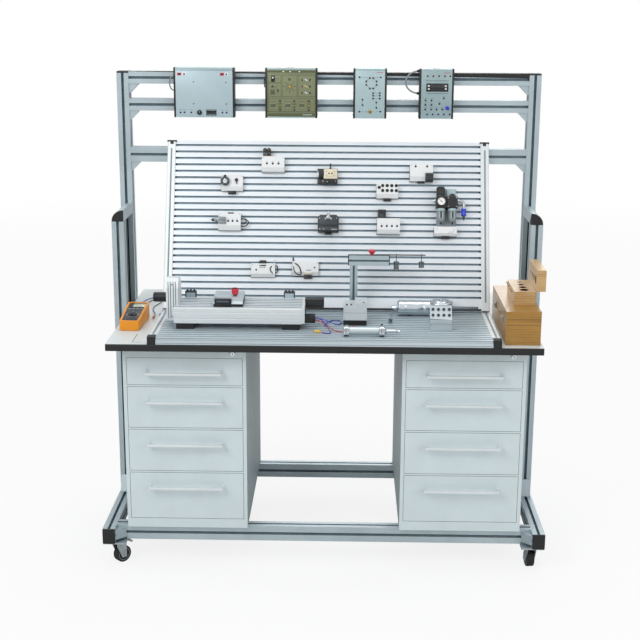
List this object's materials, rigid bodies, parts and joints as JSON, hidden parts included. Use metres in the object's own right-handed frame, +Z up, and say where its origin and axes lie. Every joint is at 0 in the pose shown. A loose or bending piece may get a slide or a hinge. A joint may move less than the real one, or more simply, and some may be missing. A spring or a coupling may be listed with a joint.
{
  "type": "sensor training bench",
  "caption": "Wheeled aluminium-profile training bench with drawer cabinets, slotted plates, hung instruments, clip-on sensor modules, linear axis, air cylinder and meter.",
  "frame": {"origin": "on the floor, under the middle of the worktop", "axes": "+Z up, +X to the right of the person at the bench, +Y away from that person"},
  "size_m": [1.5906, 0.85, 1.7554],
  "materials": {
    "aluminium_profile": "clear anodised extrusion, fine satin",
    "amber_wood": "varnished hardwood",
    "black_plastic": "moulded, satin",
    "blue_plastic": "flexible lead cover",
    "bright_metal": "milled and anodised, satin",
    "chromed_steel": "polished",
    "cream_plastic": "moulded, fine grain",
    "laminate": "pale laminate with an edge band",
    "module_plastic": "moulded, fine grain",
    "orange_plastic": "moulded, fine grain",
    "sheet_steel": "powder coated sheet steel, light grey, satin",
    "smoked_panel": "dark smoked acrylic",
    "unit_blue": "pale blue-grey, satin",
    "unit_olive": "olive, satin",
    "wheel_rubber": "matt",
    "zinc_plate": "pressed and zinc plated"
  },
  "bodies": {
    "bench": {"air_unit": "module_plastic", "amplifier_box": "bright_metal", "axis_bed": "bright_metal", "axis_lead": "blue_plastic", "axis_plug": "blue_plastic", "base_plate": "bright_metal", "beam_stand": "bright_metal", "black_valve": "black_plastic", "bridge_unit": "unit_blue", "cabinet_left": "sheet_steel", "cabinet_right": "sheet_steel", "colour_module": "module_plastic", "cylinder_barrel": "bright_metal", "display_unit": "unit_blue", "limit_module": "module_plastic", "lower_frame": "aluminium_profile", "meter_body": "orange_plastic", "meter_lead": "blue_plastic", "meter_plug": "blue_plastic", "optical_module": "module_plastic", "pale_valve": "cream_plastic", "port_module": "module_plastic", "power_unit": "unit_blue", "probe_module": "module_plastic", "process_unit": "unit_olive", "rear_frame": "aluminium_profile", "reed_module": "module_plastic", "relay_module": "module_plastic", "side_panel_left": "smoked_panel", "side_panel_right": "smoked_panel", "slot_board": "bright_metal", "strip_module": "module_plastic", "tube_sensor": "bright_metal", "valve_manifold": "bright_metal", "wood_cases": "amber_wood", "worktop": "laminate"},
    "drawer_left_1": {"drawer_left_1": "sheet_steel"},
    "drawer_left_2": {"drawer_left_2": "sheet_steel"},
    "drawer_left_3": {"drawer_left_3": "sheet_steel"},
    "drawer_left_4": {"drawer_left_4": "sheet_steel"},
    "drawer_right_1": {"drawer_right_1": "sheet_steel"},
    "drawer_right_2": {"drawer_right_2": "sheet_steel"},
    "drawer_right_3": {"drawer_right_3": "sheet_steel"},
    "drawer_right_4": {"drawer_right_4": "sheet_steel"},
    "fork_front_left": {"fork_front_left": "zinc_plate"},
    "fork_front_right": {"fork_front_right": "zinc_plate"},
    "fork_rear_left": {"fork_rear_left": "zinc_plate"},
    "fork_rear_right": {"fork_rear_right": "zinc_plate"},
    "wheel_front_left": {"wheel_front_left": "wheel_rubber"},
    "wheel_front_right": {"wheel_front_right": "wheel_rubber"},
    "wheel_rear_left": {"wheel_rear_left": "wheel_rubber"},
    "wheel_rear_right": {"wheel_rear_right": "wheel_rubber"},
    "power_rocker": {"power_rocker": "black_plastic"},
    "regulator_knob": {"regulator_knob": "black_plastic"},
    "axis_carriage": {"axis_carriage": "bright_metal"},
    "weight_long": {"weight_long": "chromed_steel"},
    "weight_short": {"weight_short": "chromed_steel"},
    "cylinder_rod": {"cylinder_rod": "chromed_steel"},
    "case_lid": {"case_lid": "amber_wood"},
    "meter_dial": {"meter_dial": "black_plastic"}
  },
  "joints": [
    {"name": "drawer_left_1_slide", "type": "slide", "parent": "bench", "child": "drawer_left_1", "axis": [0, -1, 0], "range_m": [0, 0.42]},
    {"name": "drawer_left_2_slide", "type": "slide", "parent": "bench", "child": "drawer_left_2", "axis": [0, -1, 0], "range_m": [0, 0.42]},
    {"name": "drawer_left_3_slide", "type": "slide", "parent": "bench", "child": "drawer_left_3", "axis": [0, -1, 0], "range_m": [0, 0.42]},
    {"name": "drawer_left_4_slide", "type": "slide", "parent": "bench", "child": "drawer_left_4", "axis": [0, -1, 0], "range_m": [0, 0.42]},
    {"name": "drawer_right_1_slide", "type": "slide", "parent": "bench", "child": "drawer_right_1", "axis": [0, -1, 0], "range_m": [0, 0.42]},
    {"name": "drawer_right_2_slide", "type": "slide", "parent": "bench", "child": "drawer_right_2", "axis": [0, -1, 0], "range_m": [0, 0.42]},
    {"name": "drawer_right_3_slide", "type": "slide", "parent": "bench", "child": "drawer_right_3", "axis": [0, -1, 0], "range_m": [0, 0.42]},
    {"name": "drawer_right_4_slide", "type": "slide", "parent": "bench", "child": "drawer_right_4", "axis": [0, -1, 0], "range_m": [0, 0.42]},
    {"name": "front_left_swivel", "type": "hinge", "parent": "bench", "child": "fork_front_left", "pos_m": [-0.7539, -0.332, 0.0877], "axis": [0, 0, 1], "continuous": true},
    {"name": "front_left_wheel_spin", "type": "hinge", "parent": "fork_front_left", "child": "wheel_front_left", "pos_m": [-0.73693, -0.31503, 0.031], "axis": [-0.7071, 0.7071, 0], "continuous": true},
    {"name": "front_right_swivel", "type": "hinge", "parent": "bench", "child": "fork_front_right", "pos_m": [0.7539, -0.332, 0.0877], "axis": [0, 0, 1], "continuous": true},
    {"name": "front_right_wheel_spin", "type": "hinge", "parent": "fork_front_right", "child": "wheel_front_right", "pos_m": [0.75056, -0.30823, 0.031], "axis": [-0.9903, -0.1392, 0], "continuous": true},
    {"name": "rear_left_swivel", "type": "hinge", "parent": "bench", "child": "fork_rear_left", "pos_m": [-0.7539, 0.351, 0.0877], "axis": [0, 0, 1], "continuous": true},
    {"name": "rear_left_wheel_spin", "type": "hinge", "parent": "fork_rear_left", "child": "wheel_rear_left", "pos_m": [-0.74569, 0.37355, 0.031], "axis": [-0.9397, 0.342, 0], "continuous": true},
    {"name": "rear_right_swivel", "type": "hinge", "parent": "bench", "child": "fork_rear_right", "pos_m": [0.7539, 0.351, 0.0877], "axis": [0, 0, 1], "continuous": true},
    {"name": "rear_right_wheel_spin", "type": "hinge", "parent": "fork_rear_right", "child": "wheel_rear_right", "pos_m": [0.74569, 0.37355, 0.031], "axis": [-0.9397, -0.342, 0], "continuous": true},
    {"name": "power_rocker_tilt", "type": "hinge", "parent": "bench", "child": "power_rocker", "pos_m": [-0.4355, 0.175, 1.59], "axis": [1, 0, 0], "range_deg": [-8, 8]},
    {"name": "regulator_knob_turn", "type": "hinge", "parent": "bench", "child": "regulator_knob", "pos_m": [0.424, 0.11103, 1.28828], "axis": [0, 0.3746, 0.9272], "continuous": true},
    {"name": "axis_carriage_slide", "type": "slide", "parent": "bench", "child": "axis_carriage", "axis": [1, 0, 0], "range_m": [-0.115, 0.195]},
    {"name": "weight_long_swing", "type": "hinge", "parent": "bench", "child": "weight_long", "pos_m": [0.255, -0.081, 1.109], "axis": [0, 1, 0], "range_deg": [-15, 15]},
    {"name": "weight_short_swing", "type": "hinge", "parent": "bench", "child": "weight_short", "pos_m": [0.346, -0.081, 1.109], "axis": [0, 1, 0], "range_deg": [-15, 15]},
    {"name": "cylinder_rod_slide", "type": "slide", "parent": "bench", "child": "cylinder_rod", "axis": [1, 0, 0], "range_m": [-0.034, 0]},
    {"name": "case_lid_hinge", "type": "hinge", "parent": "bench", "child": "case_lid", "pos_m": [0.736, -0.181, 1.0183], "axis": [0, 1, 0], "range_deg": [-90, 0]},
    {"name": "meter_dial_turn", "type": "hinge", "parent": "bench", "child": "meter_dial", "pos_m": [-0.69466, -0.17608, 0.89701], "axis": [-0.0049, -0.1391, 0.9903], "range_deg": [-150, 150]}
  ]
}
